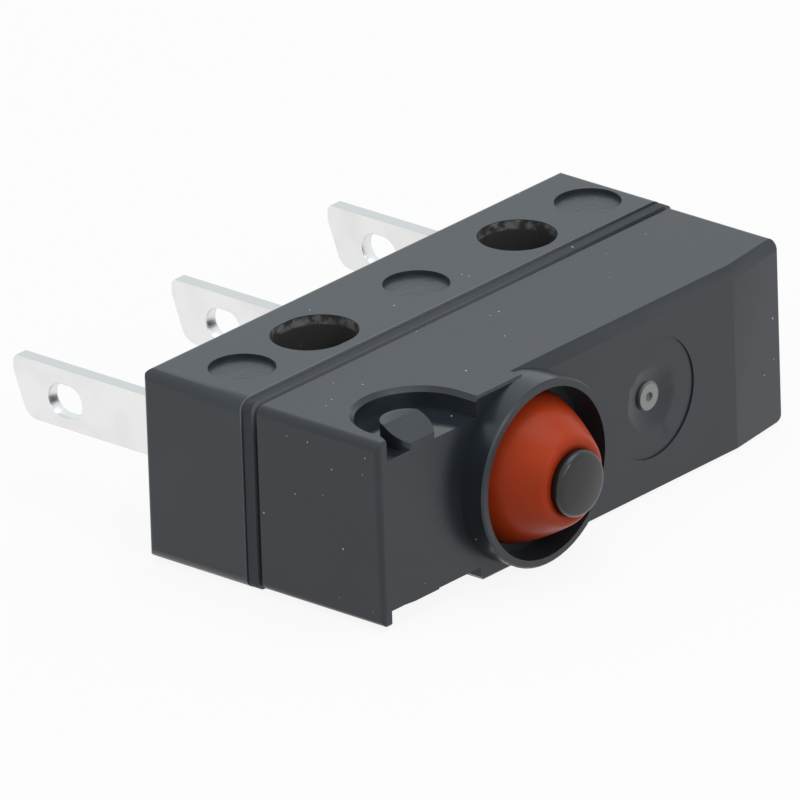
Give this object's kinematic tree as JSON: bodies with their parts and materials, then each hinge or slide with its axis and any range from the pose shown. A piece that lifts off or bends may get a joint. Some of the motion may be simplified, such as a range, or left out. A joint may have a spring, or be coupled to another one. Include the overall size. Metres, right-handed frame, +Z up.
{
  "type": "pin plunger micro switch",
  "caption": "Sealed sub-miniature snap-action switch: flat two-part housing with through holes, a pin plunger in a rubber boot and flat solder tabs.",
  "frame": {"origin": "midpoint between the two mounting holes, on the plane of the housing's lower broad face", "axes": "+X along the housing away from the plunger's end, +Y towards the solder tabs, +Z up through the thickness"},
  "size_m": [0.0198, 0.0193, 0.0063],
  "materials": {
    "housing": "satin moulded",
    "pin": "satin moulded",
    "boot": "matte silicone",
    "tab": "silvered strip",
    "contact": "polished",
    "blade": "rolled strip",
    "steel": "drawn",
    "resin": "cured resin"
  },
  "bodies": {
    "housing": {"base": "housing", "cover": "housing", "sealing_boot": "boot", "common_terminal": "tab", "normally_open_terminal": "tab", "normally_closed_terminal": "tab", "normally_open_contact": "contact", "normally_closed_contact": "contact", "terminal_potting": "resin"},
    "plunger": {"plunger_pin": "pin"},
    "lever": {"actuating_lever": "steel"},
    "arm": {"contact_arm": "blade", "moving_contact": "contact", "snap_spring": "steel"}
  },
  "joints": [
    {"name": "plunger_slide", "type": "slide", "parent": "housing", "child": "plunger", "axis": [0, 1, 0], "range_m": [0, 0.0009], "stiffness_N_per_m": 2500, "springref_m": -0.0004, "deforming": ["sealing_boot"]},
    {"name": "lever_hinge", "type": "hinge", "parent": "housing", "child": "lever", "pos_m": [-0.00755, -0.00445, 0.00315], "axis": [0, 0, 1], "range_deg": [0, 12.1], "deforming": ["snap_spring"]},
    {"name": "arm_hinge", "type": "hinge", "parent": "housing", "child": "arm", "pos_m": [-0.00739, -0.00361, 0.00315], "axis": [0, 0, 1], "range_deg": [0, 1.85]}
  ],
  "couplings": [
    {"joint": "lever_hinge", "follows": "plunger_slide", "rad_per_m": 232.5},
    {"joint": "arm_hinge", "follows": "plunger_slide", "rad_per_m": 35.5}
  ]
}
